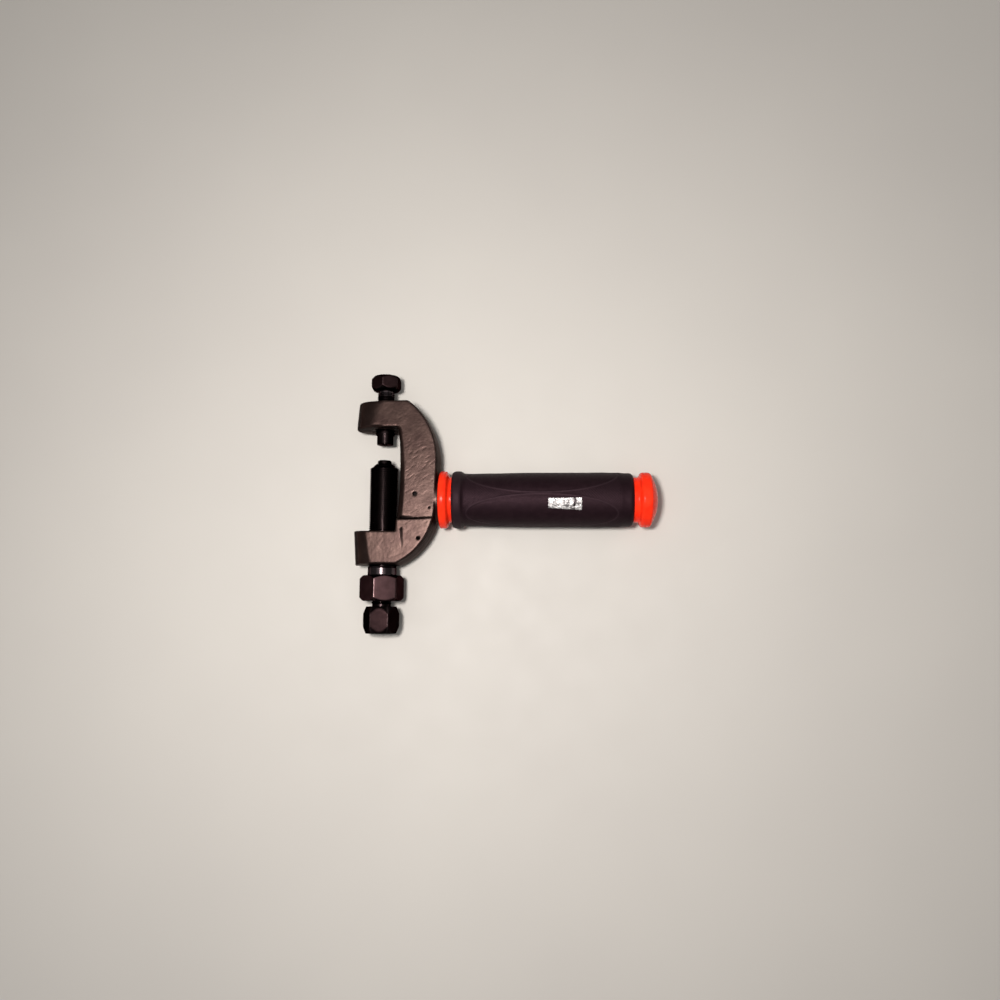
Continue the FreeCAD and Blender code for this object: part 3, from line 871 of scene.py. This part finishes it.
def lay_floor():
    """A plain pale floor, wide enough to fill every view."""
    bpy.ops.mesh.primitive_plane_add(size=FLOOR_SIZE, location=(0, 0, 0))
    floor = bpy.context.object
    floor.name = "pale_floor"
    n = Nodes("pale_floor_paint")
    clouds = n.ramp(n.noise(3, 3), 0, 1, 0.3, 0.7)
    shade = n.mix(clouds, colour(0.56, 0.54, 0.51), colour(0.52, 0.50, 0.475))
    n.set(Base_Color=shade, Roughness=n.ramp(n.noise(40, 4), 0.55, 0.7, 0.3, 0.7))
    floor.data.materials.append(n.material)


def add_light(name, spot, aim, size, watts, tint):
    lamp = bpy.data.lights.new(name, "AREA")
    lamp.shape = "DISK"
    lamp.size = size
    lamp.energy = watts
    lamp.color = tint
    light = bpy.data.objects.new(name, lamp)
    light.location = spot
    light.rotation_mode = "QUATERNION"
    light.rotation_quaternion = (Vector(aim) - Vector(spot)).to_track_quat("-Z", "Y")
    bpy.context.scene.collection.objects.link(light)


def add_sky(watts, spread):
    """An even soft light from straight above, which also reaches the floor far away."""
    lamp = bpy.data.lights.new("overhead", "SUN")
    lamp.energy = watts
    lamp.angle = math.radians(spread)
    lamp.color = (1.0, 0.98, 0.96)
    bpy.context.scene.collection.objects.link(bpy.data.objects.new("overhead", lamp))


def light_scene():
    """A key light close to the lens, as a hand-held lamp gives, and soft fills all round."""
    world = bpy.data.worlds.new("soft_studio")
    world.use_nodes = True
    world.node_tree.nodes["Background"].inputs["Color"].default_value = colour(1.0, 0.97, 0.93)
    world.node_tree.nodes["Background"].inputs["Strength"].default_value = 0.15
    bpy.context.scene.world = world
    add_light("key", KEY_SPOT, (-0.02, 0, 0.02), 0.08, 4.3, (1.0, 0.95, 0.9))
    add_sky(0.55, 70)
    add_light("left_fill", (-0.9, -0.5, 0.5), (0, 0, 0), 0.8, 0.5, (0.95, 0.97, 1.0))
    add_light("right_fill", (0.9, 0.6, 0.5), (0, 0, 0), 0.8, 0.5, (1.0, 0.97, 0.94))


def set_camera():
    """Nearly straight above the tool, a little towards the handle and the main screw's head."""
    lens = bpy.data.cameras.new("camera")
    lens.lens = LENS
    lens.sensor_width = SENSOR
    lens.clip_start = 0.01
    camera = bpy.data.objects.new("camera", lens)
    back = (CAMERA_SPOT - CAMERA_AIM).normalized()
    side = Vector((0, 1, 0)).cross(back).normalized()
    turn = Matrix.Rotation(math.radians(CAMERA_ROLL), 3, back)
    side = turn @ side
    camera.matrix_world = Matrix((side, back.cross(side), back)).transposed().to_4x4()
    camera.location = CAMERA_SPOT
    bpy.context.scene.collection.objects.link(camera)
    bpy.context.scene.camera = camera


def build():
    steel = black_oxide("oiled_black_oxide", 0.045)
    inner_steel = black_oxide("dark_black_oxide", 0.0095)
    anvil_steel = black_oxide("anvil_black_oxide", 0.030)
    ground = bright_steel("ground_steel", "ground_steel", (0.34, 0.33, 0.34), 0.22, 0.36)
    zinc = bright_steel("zinc_plate", "zinc_steel", (0.62, 0.62, 0.64), 0.25, 0.4)
    spring = bright_steel("blued_spring_steel", "spring_steel", (0.09, 0.085, 0.09), 0.25, 0.4)
    dull = bright_steel("dull_pin_steel", "spring_steel", (0.012, 0.010, 0.010), 0.55, 0.7)
    red = red_plastic()
    build_frame()
    build_main_screw(steel)
    build_inner_screw(inner_steel)
    build_anvil_bolt(anvil_steel)
    build_noses(anvil_steel)
    build_collar(red)
    build_grip()
    build_label()
    build_end_cap(red)
    dress_hidden_parts({
        "handle_stud": zinc, "handle_core": zinc, "handle_washer": zinc, "handle_nut": zinc,
        "handle_spring_washer": spring, "stud_lock_pin": dull, "anvil_clip": spring,
        "guide_clip": spring, "pad_clip": spring, "thrust_pad": ground,
    })


set_camera()
build()
lay_floor()
light_scene()
bpy.context.scene.view_settings.view_transform = "Standard"
